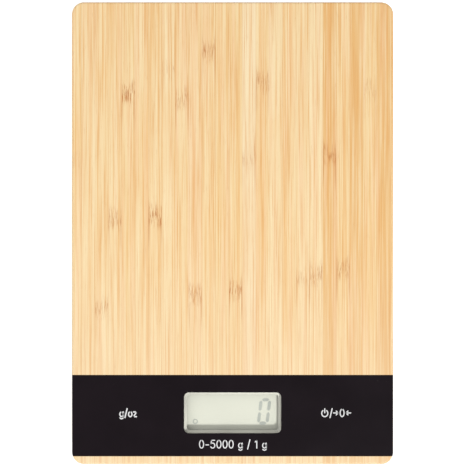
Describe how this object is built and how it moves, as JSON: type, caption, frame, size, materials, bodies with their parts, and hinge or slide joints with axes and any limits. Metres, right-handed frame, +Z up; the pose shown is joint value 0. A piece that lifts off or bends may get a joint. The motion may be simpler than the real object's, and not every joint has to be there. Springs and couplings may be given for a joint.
{
  "type": "kitchen scale",
  "caption": "Slim flat digital kitchen scale: bamboo weighing platform with a black display strip let into its front, a moulded tray under it, and feet that press on load cells.",
  "frame": {"origin": "on the table, under the middle of the platform's outline", "axes": "+Z up, +X to the user's right, +Y from the display at the front to the back"},
  "size_m": [0.16, 0.23, 0.018],
  "materials": {
    "bamboo": "bonded bamboo strips under a clear satin lacquer",
    "black_film": "printed film with a fine satin face",
    "adhesive": "clear acrylic adhesive sheet",
    "clear_lens": "clear moulded lens",
    "frame_plastic": "pale grey moulded plastic",
    "foam": "black closed-cell foam",
    "lcd_film": "polarising film",
    "lcd_glass": "clear glass",
    "zebra_rubber": "layered conductive silicone",
    "circuit_board": "green solder mask over glass fibre",
    "epoxy": "black potting epoxy",
    "components": "ceramic and tin",
    "solder": "bright solder",
    "switch_plastic": "black moulded plastic",
    "sheet_metal": "stamped steel",
    "screw_steel": "zinc plated",
    "tray_plastic": "black moulded plastic with a fine spark-eroded grain",
    "label": "plain silver film",
    "cell_steel": "nickel plated spring steel",
    "contact_nickel": "nickel plated spring strip",
    "coin_steel": "bright nickel plated can",
    "silicone": "white silicone coat",
    "red_wire": "PVC insulation",
    "white_wire": "PVC insulation",
    "black_wire": "PVC insulation",
    "white_ink": "white screen printing ink",
    "display_ink": "darkened liquid crystal",
    "foot_plastic": "black moulded plastic",
    "foot_rubber": "black anti-slip rubber"
  },
  "bodies": {
    "scale_body": {"bamboo_board": "bamboo", "fascia_overlay": "black_film", "fascia_adhesive": "adhesive", "display_lens": "clear_lens", "display_frame": "frame_plastic", "lcd_gasket": "foam", "lcd_polariser": "lcd_film", "lcd_glass": "lcd_glass", "lcd_reflector": "lcd_film", "zebra_strip": "zebra_rubber", "lcd_rest": "foam", "circuit_board": "circuit_board", "controller_blob": "epoxy", "board_components": "components", "solder_joints": "solder", "switch_bodies": "switch_plastic", "switch_covers": "sheet_metal", "display_screws": "screw_steel", "bottom_tray": "tray_plastic", "tray_screws": "screw_steel", "rating_label": "label", "coin_cell": "coin_steel", "positive_contact": "contact_nickel", "negative_contact": "contact_nickel", "gauge_coats": "silicone", "cell_screws": "screw_steel", "red_leads": "red_wire", "white_leads": "white_wire", "black_leads": "black_wire", "load_cell_front_left": "cell_steel", "load_cell_front_right": "cell_steel", "load_cell_back_left": "cell_steel", "load_cell_back_right": "cell_steel"},
    "unit_key": {"unit_switch_plunger": "switch_plastic"},
    "tare_key": {"tare_switch_plunger": "switch_plastic"},
    "door": {"battery_door": "tray_plastic"},
    "foot_front_left": {"foot_cup_front_left": "foot_plastic", "foot_pad_front_left": "foot_rubber"},
    "foot_front_right": {"foot_cup_front_right": "foot_plastic", "foot_pad_front_right": "foot_rubber"},
    "foot_back_left": {"foot_cup_back_left": "foot_plastic", "foot_pad_back_left": "foot_rubber"},
    "foot_back_right": {"foot_cup_back_right": "foot_plastic", "foot_pad_back_right": "foot_rubber"}
  },
  "joints": [
    {"name": "foot_front_left_drop", "type": "slide", "parent": "scale_body", "child": "foot_front_left", "axis": [0, 0, -1], "range_m": [0, 0.00038]},
    {"name": "foot_front_right_drop", "type": "slide", "parent": "scale_body", "child": "foot_front_right", "axis": [0, 0, -1], "range_m": [0, 0.00038]},
    {"name": "foot_back_left_drop", "type": "slide", "parent": "scale_body", "child": "foot_back_left", "axis": [0, 0, -1], "range_m": [0, 0.00038]},
    {"name": "foot_back_right_drop", "type": "slide", "parent": "scale_body", "child": "foot_back_right", "axis": [0, 0, -1], "range_m": [0, 0.00038]},
    {"name": "unit_key_press", "type": "slide", "parent": "scale_body", "child": "unit_key", "axis": [0, 0, -1], "range_m": [0, 0.00025], "stiffness_N_per_m": 3200, "springref_m": -0.00025},
    {"name": "tare_key_press", "type": "slide", "parent": "scale_body", "child": "tare_key", "axis": [0, 0, -1], "range_m": [0, 0.00025], "stiffness_N_per_m": 3200, "springref_m": -0.00025},
    {"name": "battery_door_swing", "type": "hinge", "parent": "scale_body", "child": "door", "pos_m": [0, -0.0169, 0.00385], "axis": [1, 0, 0], "range_deg": [0, 90]}
  ]
}
